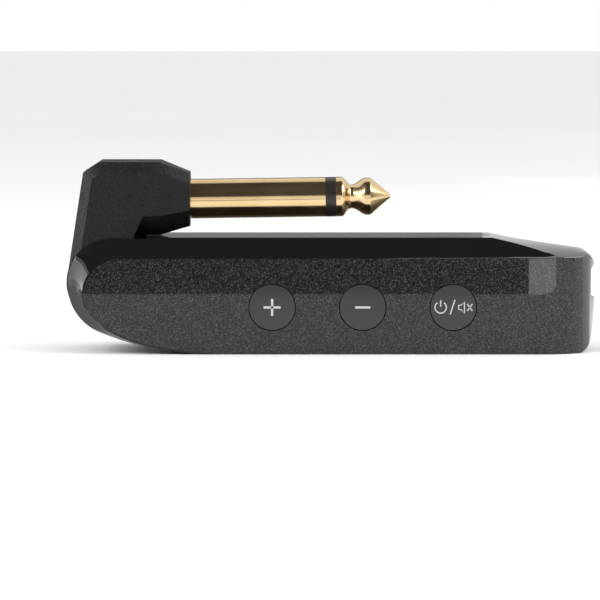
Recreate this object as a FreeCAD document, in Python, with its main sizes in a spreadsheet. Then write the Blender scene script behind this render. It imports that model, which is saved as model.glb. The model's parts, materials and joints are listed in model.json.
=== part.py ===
import FreeCAD, Part

import math
import os
import re

import Sketcher
from FreeCAD import Placement, Rotation, Vector

# A slim stick-shaped wireless guitar transmitter with a fold-out plug.
# Millimetres. +X runs along the case from the hinge end to the charging end, +Y points away
# from the side with the buttons, +Z is up. The origin is under the middle of the case, on the
# surface that it stands on. The plug arm turns about a pin along Y and is modelled folded,
# with the plug lying above the flat top.

SIZES = {
    # case, outside
    "body_length": 84.4,
    "body_width": 20.7,
    "body_height": 18.3,
    "flat_top_width": 14.1,
    "hinge_setback": 7.17,
    "nose_radius": 7.15,
    "nose_turn": 168.9,
    "chin_radius": 8.25,
    "chin_turn": 247.4,
    "rim_setback": 8.55,
    "bevel_drop": 3.06,
    "rim_radius": 5.78,
    "rim_turn": 234.0,
    "rim_chin_radius": 19.2,
    "rim_chin_turn": 253.1,
    "band_length": 17.2,
    "seam_rise": 0.2,
    "rim_land": 0.1,
    "seam_gap": 0.14,
    "seam_depth": 0.5,
    "tail_plan_radius": 14.0,
    "tail_corner_radius": 8.5,
    "tail_side_radius": 36.0,
    "tail_side_height": 10.6,
    "tail_foot_radius": 2.2,
    "tail_brow_radius": 3.5,
    "tail_cap": 2.3,
    "slope_length": 16.8,
    "slope_turn": 8.05,
    "slope_crown": 2.4,
    # case, inside
    "wall": 1.5,
    "screw_inset_left": 19.9,
    "screw_inset_right": 10.6,
    "screw_spread": 6.3,
    "screw_radius": 0.8,
    "screw_head_radius": 1.4,
    "screw_length": 7.0,
    "boss_radius": 1.75,
    # hinge
    "slot_play": 0.25,
    "slot_radius": 9.0,
    "slot_floor_reach": 7.8,
    "knuckle_radius": 7.0,
    "knuckle_width": 14.0,
    "pin_radius": 1.75,
    "pin_bore": 1.1,
    "pin_reach": 1.35,
    "bush_radius": 2.6,
    "washer_radius": 4.0,
    "washer_thickness": 0.5,
    "washer_pocket": 0.8,
    "running_gap": 0.05,
    # plug arm
    "arm_height": 11.9,
    "arm_lift": 0.2,
    "arm_lean": 8.8,
    "arm_bevel": 1.6,
    "shoulder_drop": 1.7,
    "shoulder_setback": 5.4,
    "neck_length": 5.2,
    "neck_undercut": 1.8,
    "barrel_length": 7.7,
    "barrel_taper": 4.8,
    "barrel_end_width": 10.0,
    "barrel_end_height": 8.5,
    "plug_height": 5.8,
    "plug_tilt": 0.8,
    # plug
    "plug_radius": 3.175,
    "shank_step": 0.4,
    "sleeve_length": 21.6,
    "ring_length": 1.65,
    "tip_length": 8.75,
    "tip_rod_radius": 1.2,
    "tube_radius": 1.9,
    "flange_radius": 4.3,
    "flange_thickness": 1.4,
    # buttons
    "button_radius": 3.65,
    "button_gap": 0.1,
    "button_height": 7.45,
    "button_pitch": 14.3,
    "middle_button": 47.1,
    "button_flange": 0.6,
    "flange_overlap": 0.6,
    "flange_play": 0.1,
    "plunger_radius": 0.8,
    "switch_gap": 0.75,
    "switch_depth": 1.5,
    "switch_side": 3.6,
    # boards and cell
    "board_thickness": 0.8,
    "board_top": 9.4,
    "cell_length": 44.0,
    "cell_width": 13.0,
    "cell_height": 6.2,
    # charging socket
    "socket_width": 8.94,
    "socket_height": 3.26,
    "socket_depth": 7.0,
    "socket_centre": 11.1,
    "recess_width": 11.5,
    "recess_height": 5.4,
    "recess_depth": 0.9,
    # top details
    "badge_radius": 6.65,
    "badge_centre": 60.95,
    "badge_thickness": 0.4,
    "lens_radius": 0.75,
    "lens_pitch": 5.05,
    "middle_lens": 44.5,
    "lens_offset": 5.2,
    "label_length": 30.0,
    "label_width": 11.0,
    "label_thickness": 0.25,
}

# sizes that follow others: the slot clears the knuckle, and the pin reaches into both bushes
FOLLOWING = {
    "slot_width": "knuckle_width + 2 * slot_play",
    "pin_length": "slot_width + 2 * pin_reach",
}

doc = FreeCAD.newDocument("transmitter")
sheet = doc.addObject("Spreadsheet::Sheet", "Sizes")
cells = {word: str(number) for word, number in SIZES.items()}
cells.update((word, "=" + text) for word, text in FOLLOWING.items())
for row, (word, content) in enumerate(cells.items(), start=1):
    sheet.set(f"A{row}", word)
    sheet.set(f"B{row}", content)
    sheet.setAlias(f"B{row}", word)
doc.recompute()

PARTS = {}


# ---------------------------------------------------------------- helpers

def rule(text):
    """Write a rule's plain words as cells of the sheet."""
    return re.sub(r"[a-z]+(?:_[a-z]+)+|\bwall\b", lambda found: "Sizes." + found.group(0), str(text))


def value(text):
    """The number that a rule gives with the sheet's present sizes."""
    return float(sheet.evalExpression(rule(text)))


def bind(thing, **rules):
    for name, text in rules.items():
        thing.setExpression(name.replace("__", "."), rule(text))
    return thing


def place(thing, x=0, y=0, z=0):
    return bind(thing, Placement__Base__x=x, Placement__Base__y=y, Placement__Base__z=z)


def keep(node, thing):
    """Name a finished sub-part: its label is its file's name."""
    thing.Label = node
    PARTS[node] = thing
    return thing


def block(name, x, y, z):
    """A box between two rules along each axis."""
    thing = doc.addObject("Part::Box", name)
    bind(
        thing,
        Length=f"({x[1]}) - ({x[0]})",
        Width=f"({y[1]}) - ({y[0]})",
        Height=f"({z[1]}) - ({z[0]})",
    )
    return place(thing, x[0], y[0], z[0])


TURNS = {
    "x": Rotation(Vector(0, 1, 0), 90),
    "y": Rotation(Vector(1, 0, 0), -90),
    "z": Rotation(),
}


def rod(name, axis, radius, span, across):
    """A cylinder along an axis, over a span of it, at a place across it (in X, Y, Z order)."""
    thing = doc.addObject("Part::Cylinder", name)
    thing.Placement = Placement(Vector(), TURNS[axis])
    bind(thing, Radius=radius, Height=f"({span[1]}) - ({span[0]})")
    spot = list(across)
    spot.insert("xyz".index(axis), span[0])
    return place(thing, *spot)


def join(name, *things):
    thing = doc.addObject("Part::MultiFuse", name)
    thing.Shapes = list(things)
    return thing


def overlap(name, *things):
    thing = doc.addObject("Part::MultiCommon", name)
    thing.Shapes = list(things)
    return thing


def cut(name, base, *tools):
    thing = doc.addObject("Part::Cut", name)
    thing.Base = base
    thing.Tool = tools[0] if len(tools) == 1 else join(name + "_tools", *tools)
    return thing


def group(name, *things):
    """Separate solids that share one node."""
    thing = doc.addObject("Part::Compound", name)
    thing.Links = list(things)
    return thing


def stadium(name, x, width, height, centre):
    """A round-ended bar along X, centred on Y = 0."""
    half = f"({width} - {height}) / 2"
    low = f"{centre} - ({height}) / 2"
    middle = block(name + "_middle", x, (f"0 - {half}", half), (low, f"{centre} + ({height}) / 2"))
    ends = [
        rod(f"{name}_{side}", "x", f"({height}) / 2", x, (f"{sign} * {half}", centre))
        for side, sign in (("near", -1), ("far", 1))
    ]
    return join(name, middle, *ends)


def body(name):
    return doc.addObject("PartDesign::Body", name)


def plane(owner, role):
    return next(item for item in owner.Origin.OriginFeatures if item.Role == role)


def outline(owner, name, role, corners, lift=0):
    """A closed sketch of straight lines: each corner's two places are bound to rules."""
    sketch = owner.newObject("Sketcher::SketchObject", name)
    sketch.AttachmentSupport = [(plane(owner, role), "")]
    sketch.MapMode = "FlatFace"
    bind(sketch, AttachmentOffset__Base__z=lift)
    spots = [Vector(value(across), value(up), 0) for across, up in corners]
    for start, end in zip(spots, spots[1:] + spots[:1]):
        sketch.addGeometry(Part.LineSegment(start, end))
    count = len(spots)
    for index in range(count):
        sketch.addConstraint(Sketcher.Constraint("Coincident", index, 2, (index + 1) % count, 1))
    for index, (corner, spot) in enumerate(zip(corners, spots)):
        for kind, text, number in (("X", corner[0], spot.x), ("Y", corner[1], spot.y)):
            label = f"corner_{index}_{kind.lower()}"
            at = sketch.addConstraint(
                Sketcher.Constraint("Distance" + kind, -1, 1, index, 1, number)
            )
            sketch.renameConstraint(at, label)
            sketch.setExpression("Constraints." + label, rule(text))
    return sketch


def circle(owner, name, role, radius, lift=0, centre=(0, 0)):
    """A sketch of one circle whose radius and centre are bound to rules."""
    sketch = owner.newObject("Sketcher::SketchObject", name)
    sketch.AttachmentSupport = [(plane(owner, role), "")]
    sketch.MapMode = "FlatFace"
    bind(sketch, AttachmentOffset__Base__z=lift)
    spot = Vector(value(centre[0]), value(centre[1]), 0)
    sketch.addGeometry(Part.Circle(spot, Vector(0, 0, 1), value(radius)))
    wanted = (("Radius", (0, value(radius)), radius), ("DistanceX", (-1, 1, 0, 3, spot.x), centre[0]),
              ("DistanceY", (-1, 1, 0, 3, spot.y), centre[1]))
    for kind, numbers, text in wanted:
        at = sketch.addConstraint(Sketcher.Constraint(kind, *numbers))
        sketch.renameConstraint(at, kind.lower() + "_rule")
        sketch.setExpression(f"Constraints.{kind.lower()}_rule", rule(text))
    return sketch


def pad(owner, name, sketch, length, both_ways=False, backwards=False):
    feature = owner.newObject("PartDesign::Pad", name)
    feature.Profile = sketch
    feature.Midplane = both_ways
    feature.Reversed = backwards
    bind(feature, Length=length)
    owner.Tip = feature
    return feature


def spin(owner, name, sketch):
    """Turn a half outline once about the sketch's own horizontal axis."""
    feature = owner.newObject("PartDesign::Revolution", name)
    feature.Profile = sketch
    feature.ReferenceAxis = (sketch, ["H_Axis"])
    feature.Angle = 360
    owner.Tip = feature
    return feature


# ---------------------------------------------------------------- places that many pieces share

def from_left(text):
    """A place along X, counted from the case's hinge end."""
    return f"({text}) - body_length / 2"


def from_right(text):
    """A place along X, counted from the case's charging end."""
    return f"body_length / 2 - ({text})"


HINGE_X = from_left("hinge_setback")
HINGE_Z = "(body_height - nose_radius)"
NEAR = "(0 - body_width / 2)"
INNER = "(body_width / 2 - wall)"
PLUG_Z = "(body_height + plug_height)"
MOUTH_X = from_left("hinge_setback + barrel_length + barrel_taper")
BULKHEAD_X = from_left("hinge_setback + slot_radius + wall")


# ---------------------------------------------------------------- case form

def arc_edge(centre, radius, start, end, y):
    """An arc in a plane of constant Y, from one turn to another, in degrees from +X to +Z."""
    places = []
    for turn in (start, (start + end) / 2, end):
        angle = math.radians(turn)
        places.append(Vector(centre[0] + radius * math.cos(angle), y,
                             centre[1] + radius * math.sin(angle)))
    return Part.Arc(*places).toShape()


def nose_edges(centre, radii, turns, y):
    """Three arcs that run on smoothly, from straight up round the end to flat on the base.

    The last radius is the one that brings the curve down to Z = 0."""
    first, second = radii
    steps = [math.radians(turn) for turn in turns]
    middle = (centre[0] + (first - second) * math.cos(steps[0]),
              centre[1] + (first - second) * math.sin(steps[0]))
    third = (middle[1] + second * math.sin(steps[1])) / (1 + math.sin(steps[1]))
    last = (middle[0] + (second - third) * math.cos(steps[1]), third)
    edges = [
        arc_edge(centre, first, 90, turns[0], y),
        arc_edge(middle, second, turns[0], turns[1], y),
        arc_edge(last, third, turns[1], 270, y),
    ]
    return edges, last[0]


def closed(points, y):
    spots = [Vector(x, y, z) for x, z in points]
    return [Part.makeLine(start, end) for start, end in zip(spots, spots[1:])]


LEFT = value("0 - body_length / 2")
RIGHT = value("body_length / 2")
HEIGHT = value("body_height")
NOSE = (LEFT + value("hinge_setback"), HEIGHT - value("nose_radius"))
NOSE_RADII = (value("nose_radius"), value("chin_radius"))
NOSE_TURNS = (value("nose_turn"), value("chin_turn"))
SEAM_LEFT = HEIGHT - value("bevel_drop")
SEAM_RIGHT = SEAM_LEFT + value("seam_rise")
RIM = (LEFT + value("rim_setback"), SEAM_LEFT - value("rim_radius"))
RIM_RADII = (value("rim_radius"), value("rim_chin_radius"))
RIM_TURNS = (value("rim_turn"), value("rim_chin_turn"))


def side_wire(centre, radii, turns, right, top_right, y):
    edges, foot = nose_edges(centre, radii, turns, y)
    top_left = (centre[0], centre[1] + radii[0])
    corners = [(foot, 0), (right, 0), (right, top_right), top_left]
    return Part.Wire(edges + closed(corners, y))


def feature(name, shape):
    thing = doc.addObject("Part::Feature", name)
    thing.Shape = shape
    return thing


def prism(wire, across):
    return Part.Face(wire).extrude(across)


half_width = value("body_width") / 2
half_top = value("flat_top_width") / 2
sections = []
for side in (-1, 1):
    rim = side_wire(RIM, RIM_RADII, RIM_TURNS, RIGHT, SEAM_RIGHT, side * half_width)
    ridge = side_wire(NOSE, NOSE_RADII, NOSE_TURNS, RIGHT, HEIGHT, side * half_top)
    sections += [rim, ridge][::-side]
bar = Part.makeLoft(sections, True, True)

# The charging end in side view: foot arc, a long shallow arc, and a brow arc that meets the slope.
slope = math.radians(value("slope_turn"))
slope_start = RIGHT - value("slope_length")
side_radius = value("tail_side_radius")
side_centre = (RIGHT - side_radius, value("tail_side_height"))
brow_radius = value("tail_brow_radius")
foot_radius = value("tail_foot_radius")
PROUD = 0.03
reach = slope_start * math.sin(slope) + HEIGHT * math.cos(slope) + PROUD
lean = side_centre[0] * math.sin(slope) + side_centre[1] * math.cos(slope)
brow_turn = math.asin((reach - brow_radius - lean) / (side_radius - brow_radius)) - slope
brow = (side_centre[0] + (side_radius - brow_radius) * math.cos(brow_turn),
        side_centre[1] + (side_radius - brow_radius) * math.sin(brow_turn))
foot_turn = math.asin((foot_radius - side_centre[1]) / (side_radius - foot_radius))
foot = (side_centre[0] + (side_radius - foot_radius) * math.cos(foot_turn), foot_radius)
tail_y = -half_width - 1
brow_edge = arc_edge(brow, brow_radius, math.degrees(brow_turn), 90 - value("slope_turn"), tail_y)
brow_end = brow_edge.Vertexes[-1].Point
over = HEIGHT + 2
tail_edges = [
    arc_edge(foot, foot_radius, 270, 360 + math.degrees(foot_turn), tail_y),
    arc_edge(side_centre, side_radius, math.degrees(foot_turn), math.degrees(brow_turn), tail_y),
    brow_edge,
]
tail_edges += closed([
    (brow_end.x, brow_end.z),
    (brow_end.x - (over - brow_end.z) / math.tan(slope), over),
    (LEFT - 1, over), (LEFT - 1, 0), (foot[0], 0)], tail_y)
tail = prism(Part.Wire(Part.__sortEdges__(tail_edges)), Vector(0, 2 * (half_width + 1), 0))

# The charging end in plan: two corner arcs and a shallow end arc.
plan_radius = value("tail_plan_radius")
corner_radius = value("tail_corner_radius")
plan_centre = RIGHT - plan_radius
corner_y = half_width - corner_radius
corner_x = plan_centre + math.sqrt((plan_radius - corner_radius) ** 2 - corner_y ** 2)
corner_turn = math.atan2(corner_y, corner_x - plan_centre)


def plan_spot(centre_x, centre_y, radius, turn):
    return Vector(centre_x + radius * math.cos(turn), centre_y + radius * math.sin(turn), -1)


plan_edges = [
    Part.Arc(plan_spot(corner_x, -corner_y, corner_radius, -math.pi / 2),
             plan_spot(corner_x, -corner_y, corner_radius, -(math.pi / 2 + corner_turn) / 2),
             plan_spot(corner_x, -corner_y, corner_radius, -corner_turn)).toShape(),
    Part.Arc(plan_spot(plan_centre, 0, plan_radius, -corner_turn),
             Vector(RIGHT, 0, -1),
             plan_spot(plan_centre, 0, plan_radius, corner_turn)).toShape(),
    Part.Arc(plan_spot(corner_x, corner_y, corner_radius, corner_turn),
             plan_spot(corner_x, corner_y, corner_radius, (math.pi / 2 + corner_turn) / 2),
             plan_spot(corner_x, corner_y, corner_radius, math.pi / 2)).toShape(),
]
plan_back = [Vector(corner_x, half_width, -1), Vector(LEFT - 1, half_width, -1),
             Vector(LEFT - 1, -half_width, -1), Vector(corner_x, -half_width, -1)]
plan_edges += [Part.makeLine(start, end) for start, end in zip(plan_back, plan_back[1:])]
plan = prism(Part.Wire(plan_edges), Vector(0, 0, HEIGHT + 4))


def slope_section(x, fall, crown):
    """The space above the slope at one place along X: its lower side is crowned across Y."""
    wide = half_width + 1
    low = HEIGHT - fall
    sag = crown * (wide / half_width) ** 2
    if crown > 0:
        under = Part.Arc(Vector(x, -wide, low - sag), Vector(x, 0, low),
                         Vector(x, wide, low - sag)).toShape()
    else:
        under = Part.makeLine(Vector(x, -wide, low), Vector(x, wide, low))
    rest = [Vector(x, wide, low - sag), Vector(x, wide, over), Vector(x, -wide, over),
            Vector(x, -wide, low - sag)]
    return Part.Wire([under] + [Part.makeLine(a, b) for a, b in zip(rest, rest[1:])])


past = 1.0
slope_cutter = Part.makeLoft([
    slope_section(slope_start, 0, 0),
    slope_section(RIGHT + past, math.tan(slope) * (RIGHT + past - slope_start),
                  value("slope_crown") * (RIGHT + past - slope_start) / (RIGHT - slope_start)),
], True, True)
case = bar.common(tail).common(plan).cut(slope_cutter)

# The side panel's outline, a little inside the rim, parts the case in two, and a narrow step
# round it makes the seam. The gloss band under the hinge end stops short of its feather edge.
panel_right = RIGHT - value("tail_cap")
seam_slope = (SEAM_RIGHT - SEAM_LEFT) / (RIGHT - RIM[0])
panel_top = SEAM_LEFT + seam_slope * (panel_right - RIM[0])
panel_y = -half_width - 1
below = -1


def panel_prism(shrink):
    """The panel's outline, drawn in by a distance and open downwards, run across the case."""
    edges = nose_edges(RIM, [radius - shrink for radius in RIM_RADII], RIM_TURNS, panel_y)[0]
    low = edges[-1].Vertexes[-1].Point
    right = panel_right - shrink
    edges += closed([(low.x, low.z), (low.x, below), (right, below), (right, panel_top - shrink),
                     (RIM[0], SEAM_LEFT - shrink)], panel_y)
    return prism(Part.Wire(edges), Vector(0, -2 * panel_y, 0))


land = value("rim_land")
seam_depth = value("seam_depth")
band_end = LEFT + value("band_length")
parting = panel_prism(land)
feather = Part.makeBox(panel_right - land - band_end, -2 * panel_y, 2, Vector(band_end, panel_y, below))
core = Part.makeBox(2 * RIGHT + 4, 2 * (half_width - seam_depth), HEIGHT + 4,
                    Vector(LEFT - 2, seam_depth - half_width, -2))
seam = parting.cut(panel_prism(land + value("seam_gap"))).cut(core)
panel = parting.fuse(feather)
cover_form = feature("cover_form", case.cut(panel))
housing_form = feature("housing_form", case.common(panel).cut(seam))


# ---------------------------------------------------------------- hollows of the case

def slot_parts(name):
    """The space that the plug arm turns in: open above, at the end and below."""
    half = "slot_width / 2"
    sides = (f"0 - {half}", half)
    return [
        rod(name + "_round", "y", "slot_radius", sides, (HINGE_X, HINGE_Z)),
        block(name + "_end", (from_left("0 - 2"), HINGE_X), sides, ("0 - 2", "body_height + 2")),
        block(name + "_floor", (from_left("0 - 2"), f"{HINGE_X} + slot_floor_reach"), sides,
              ("0 - 2", HINGE_Z)),
    ]


slot = join("slot", *slot_parts("slot"))

room = body("room")
room_corners = [
    ("wall - body_width / 2", "wall"),
    (INNER, "wall"),
    (INNER, "body_height - bevel_drop - 1"),
    ("flat_top_width / 2 - 0.5", "body_height - wall"),
    ("0.5 - flat_top_width / 2", "body_height - wall"),
    ("wall - body_width / 2", "body_height - bevel_drop - 1"),
]
pad(room, "room_pad", outline(room, "room_outline", "YZ_Plane", room_corners, BULKHEAD_X),
    f"({from_right('slope_length - 1.4')}) - ({BULKHEAD_X})")
low_room = block(
    "low_room", (from_right("slope_length"), from_right("tail_cap + 5.4")),
    (f"0.75 - {INNER}", f"{INNER} - 0.75"), ("wall", "body_height - bevel_drop + 0.46"))
end_room = block(
    "end_room", (from_right("tail_cap + 6"), from_right("tail_cap + wall")),
    ("0 - (socket_width / 2 + 1.7)", "socket_width / 2 + 1.7"),
    ("wall + 0.5", "body_height - bevel_drop - 1.2"))
hollow = join("hollow", room, low_room, end_room)

bush_seat = "(pin_length / 2 + 0.25)"
bush_holes = rod("bush_holes", "y", "bush_radius + 0.01", (f"0 - {bush_seat}", bush_seat),
                 (HINGE_X, HINGE_Z))
socket_tunnel = stadium(
    "socket_tunnel", (from_right("socket_depth + recess_depth + 0.4"), from_right("0 - 1")),
    "(socket_width + 0.2)", "(socket_height + 0.2)", "socket_centre")
socket_recess = stadium(
    "socket_recess", (from_right("recess_depth"), from_right("0 - 2")),
    "recess_width", "recess_height", "socket_centre")

SCREW_X = {"left": from_left("screw_inset_left"), "right": from_right("screw_inset_right")}
SCREW_Y = {"near": "(0 - screw_spread)", "far": "screw_spread"}
SCREW_SPOTS = {f"{end}_{side}": (x, y) for end, x in SCREW_X.items() for side, y in SCREW_Y.items()}


def at_screws(name, radius, span):
    return [rod(f"{name}_{spot}", "z", radius, span, where) for spot, where in SCREW_SPOTS.items()]


# ---------------------------------------------------------------- top cover and lower housing

LENSES = ["(middle_lens - lens_pitch)", "middle_lens", "(middle_lens + lens_pitch)"]
cover_shell = cut("cover_shell", cover_form, slot, hollow)
bosses = overlap(
    "bosses", join("boss_rods", *at_screws("boss", "boss_radius", ("wall + 0.1", "body_height"))),
    join("boss_bounds", hollow, cover_form))
cover_solid = join("cover_solid", cover_shell, bosses)
pilots = at_screws("pilot", "screw_radius + 0.01", ("0", "screw_length + 1"))
badge_seat = rod("badge_seat", "z", "badge_radius + 0.05",
                 ("body_height - badge_thickness", "body_height + 1"),
                 (from_left("badge_centre"), "0"))
lens_holes = [
    rod(f"lens_hole_{number}", "z", "lens_radius + 0.02", ("body_height - wall - 1", "body_height + 1"),
        (from_left(place_x), "(0 - lens_offset)"))
    for number, place_x in enumerate(LENSES)
]
keep("top_cover", cut("top_cover", cover_solid, socket_tunnel, socket_recess, badge_seat,
                      *pilots, *lens_holes))

BUTTONS = {
    "plus": "(middle_button - button_pitch)",
    "minus": "middle_button",
    "power": "(middle_button + button_pitch)",
}
button_holes = [
    rod(f"{word}_hole", "y", "button_radius + button_gap", (f"{NEAR} - 1", f"0 - {INNER} + 0.5"),
        (from_left(place_x), "button_height"))
    for word, place_x in BUTTONS.items()
]
head_wells = at_screws("head_well", "screw_head_radius + 0.1", ("0 - 1", "0.7"))
shank_holes = at_screws("shank_hole", "screw_radius + 0.1", ("0 - 1", "wall + 1"))
label_seat = block(
    "label_seat", (from_left("badge_centre - label_length"), from_left("badge_centre")),
    ("(0 - label_width / 2)", "label_width / 2"), ("0 - 1", "label_thickness + 0.02"))
keep("lower_housing", cut("lower_housing", housing_form, slot, hollow, bush_holes, socket_tunnel,
                          label_seat, *button_holes, *head_wells, *shank_holes))

heads = at_screws("screw_head", "screw_head_radius", ("0.1", "0.65"))
shanks = at_screws("screw_shank", "screw_radius", ("0.6", "screw_length"))
keep("housing_screws", group("housing_screws", *[
    join(f"housing_screw_{spot}", head, shank)
    for spot, head, shank in zip(SCREW_SPOTS, heads, shanks)]))

keep("rating_label", block(
    "rating_label", (from_left("badge_centre - label_length + 0.1"), from_left("badge_centre - 0.1")),
    ("(0.1 - label_width / 2)", "label_width / 2 - 0.1"), ("0.05", "label_thickness")))

badge = body("badge")
place(badge, from_left("badge_centre"), 0, "body_height - badge_thickness")
pad(badge, "badge_pad", circle(badge, "badge_outline", "XY_Plane", "badge_radius"), "badge_thickness")
keep("badge_disc", badge)

keep("indicator_lenses", group("indicator_lenses", *[
    rod(f"lens_{number}", "z", "lens_radius", ("body_height - wall", "body_height"),
        (from_left(place_x), "(0 - lens_offset)"))
    for number, place_x in enumerate(LENSES)]))

CELL_Y = (f"({INNER} - 0.25 - cell_width)", f"({INNER} - 0.25)")
BOARD_NEAR = f"({CELL_Y[0]} - 0.3)"
LED_BACK = f"({BOARD_NEAR} + 1.8)"
GUIDE_TOP = "(body_height - wall - 0.05)"
guide_bar = block(
    "guide_bar", (from_left("middle_lens - lens_pitch - 1"), from_left("middle_lens + lens_pitch + 1")),
    ("(0 - lens_offset - 0.9)", f"({LED_BACK} + 0.5)"), (f"{GUIDE_TOP} - 2", GUIDE_TOP))
guide_legs = [
    rod(f"guide_leg_{number}", "z", "0.8", ("board_top + 0.75", f"{GUIDE_TOP} - 1"),
        (from_left(place_x), f"({LED_BACK} - 0.5)"))
    for number, place_x in enumerate(LENSES)
]
keep("light_guide", join("light_guide", guide_bar, *guide_legs))
keep("status_leds", group("status_leds", *[
    block(f"led_{number}", (from_left(f"{place_x} - 0.8"), from_left(f"{place_x} + 0.8")),
          (f"({LED_BACK} - 1)", LED_BACK), ("board_top", "board_top + 0.6"))
    for number, place_x in enumerate(LENSES)]))


# ---------------------------------------------------------------- buttons, switches and boards

FLANGE_BACK = "(wall + flange_play + button_flange - body_width / 2)"
SWITCH_FRONT = f"({FLANGE_BACK} + switch_gap)"
SWITCH_BACK = f"({SWITCH_FRONT} + switch_depth)"


def button(word, place_x):
    """A round key: a cap flush with the case and a wider flange behind the wall."""
    owner = body(word + "_key")
    place(owner, from_left(place_x), NEAR, "button_height")
    cap = circle(owner, word + "_cap", "XZ_Plane", "button_radius")
    pad(owner, word + "_cap_pad", cap, "wall + flange_play", backwards=True)
    lip = circle(owner, word + "_lip", "XZ_Plane", "button_radius + flange_overlap",
                 "0 - (wall + flange_play)")
    pad(owner, word + "_lip_pad", lip, "button_flange", backwards=True)
    keep(word + "_button", owner)
    spot = (from_left(place_x), "button_height")
    keep(word + "_plunger", rod(word + "_plunger", "y", "plunger_radius",
                                (FLANGE_BACK, f"{SWITCH_FRONT} + 0.4"), spot))
    base = block(
        word + "_switch_base",
        (from_left(f"{place_x} - switch_side / 2"), from_left(f"{place_x} + switch_side / 2")),
        (SWITCH_FRONT, SWITCH_BACK),
        ("button_height - switch_side / 2", "button_height + switch_side / 2"))
    well = rod(word + "_switch_well", "y", "plunger_radius + 0.1",
               (f"{SWITCH_FRONT} - 1", f"{SWITCH_BACK} - 0.4"), spot)
    return cut(word + "_switch", base, well)


keep("key_switches", group("key_switches", *[button(word, at) for word, at in BUTTONS.items()]))

SWITCH_BOARD = (SWITCH_BACK, f"({SWITCH_BACK} + board_thickness)")
keep("switch_board", block(
    "switch_board", (from_left("middle_button - button_pitch - 5"),
                     from_left("middle_button + button_pitch + 5")),
    SWITCH_BOARD, ("wall + 0.8", "board_top + 3")))

CELL_X = (from_left("hinge_setback + slot_radius + wall + 4.4"),
          from_left("hinge_setback + slot_radius + wall + 4.4 + cell_length"))
CELL_TOP = "(wall + 0.15 + cell_height)"
keep("battery_cell", block("battery_cell", CELL_X, CELL_Y, ("wall + 0.15", CELL_TOP)))
keep("battery_pad", block(
    "battery_pad", (f"{CELL_X[0]} + 4", f"{CELL_X[1]} - 4"), (f"{CELL_Y[0]} + 2", f"{CELL_Y[1]} - 2"),
    (CELL_TOP, "board_top - board_thickness")))

BOARD_Z = ("board_top - board_thickness", "board_top")
BOARD_WIDE_END = f"({CELL_X[1]} + 2.4)"
board_wide = block(
    "board_wide", (f"{CELL_X[0]} + 0.6", BOARD_WIDE_END), (BOARD_NEAR, f"{CELL_Y[1]} - 0.1"),
    BOARD_Z)
board_tongue = block(
    "board_tongue", (f"{BOARD_WIDE_END} - 1", from_right("tail_cap + wall + 0.3")),
    ("(0.1 - socket_width / 2)", "socket_width / 2 - 0.1"), BOARD_Z)
keep("main_board", join("main_board", board_wide, board_tongue))
keep("board_link", block(
    "board_link", (from_left("middle_lens + 8"), from_left("middle_lens + 14")),
    (SWITCH_BOARD[1], f"{CELL_Y[0]} + 1.6"), ("board_top", "board_top + 1.6")))
keep("radio_shield", block(
    "radio_shield", (f"{BOARD_WIDE_END} - 14.4", f"{BOARD_WIDE_END} - 1.4"),
    (f"{CELL_Y[0]} + 2.4", f"{CELL_Y[1]} - 1.4"), ("board_top", "board_top + 2")))
keep("chip_antenna", block(
    "chip_antenna", (f"{BOARD_WIDE_END} + 1.5", f"{BOARD_WIDE_END} + 3.5"), ("0 - 3.5", "3.5"),
    ("board_top", "board_top + 1.1")))

CHIPS = {"converter": (2.0, 7.0, 1.0), "charger": (11.5, 4.0, 0.8), "memory": (26.0, 5.0, 0.9)}
keep("board_chips", group("board_chips", *[
    block(word, (f"{CELL_X[0]} + {start}", f"{CELL_X[0]} + {start} + {side}"),
          (f"{CELL_Y[1]} - 1.5 - {side}", f"{CELL_Y[1]} - 1.5"), ("board_top", f"board_top + {tall}"))
    for word, (start, side, tall) in CHIPS.items()]))

SHELL_X = (from_right("socket_depth + recess_depth"), from_right("recess_depth"))
shell_outside = stadium("shell_outside", SHELL_X, "socket_width", "socket_height", "socket_centre")
shell_inside = stadium("shell_inside", (f"{SHELL_X[0]} + 0.4", f"{SHELL_X[1]} + 1"),
                       "(socket_width - 0.6)", "(socket_height - 0.6)", "socket_centre")
keep("socket_shell", cut("socket_shell", shell_outside, shell_inside))
keep("socket_tongue", block(
    "socket_tongue", (f"{SHELL_X[0]} + 0.4", f"{SHELL_X[1]} - 1"), ("0 - 3.3", "3.3"),
    ("socket_centre - 0.35", "socket_centre + 0.35")))


def wire_run(start, corner, end, bend, radius):
    """A round wire along two straight runs with one arc between them."""
    start, corner, end = (Vector(*[value(item) for item in spot]) for spot in (start, corner, end))
    back = (start - corner).normalize()
    ahead = (end - corner).normalize()
    first = corner + back * bend
    last = corner + ahead * bend
    centre = first + ahead * bend
    middle = centre + (corner - centre).normalize() * bend
    path = Part.Wire([Part.makeLine(start, first), Part.Arc(first, middle, last).toShape(),
                      Part.makeLine(last, end)])
    section = Part.Wire([Part.makeCircle(radius, start, back * -1)])
    return path.makePipeShell([section], True, False)


LEAD_X = f"({CELL_X[1]} + 1.6)"
lead_low = "(wall + cell_height - 1.5)"
keep("battery_leads", feature("battery_leads", Part.makeCompound([
    wire_run((CELL_X[1], f"{CELL_Y[0]} + {offset}", lead_low),
             (LEAD_X, f"{CELL_Y[0]} + {offset}", lead_low),
             (LEAD_X, f"{CELL_Y[0]} + {offset}", "board_top - board_thickness"), 1.2, 0.4)
    for offset in (3.0, 5.0)])))


# ---------------------------------------------------------------- hinge

HINGE = (HINGE_X, HINGE_Z)


def ring(node, radius, bore, span):
    """A plain ring about the hinge's axis."""
    outside = rod(node + "_outside", "y", radius, span, HINGE)
    inside = rod(node + "_inside", "y", bore, (f"({span[0]}) - 1", f"({span[1]}) + 1"), HINGE)
    return keep(node, cut(node, outside, inside))


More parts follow.
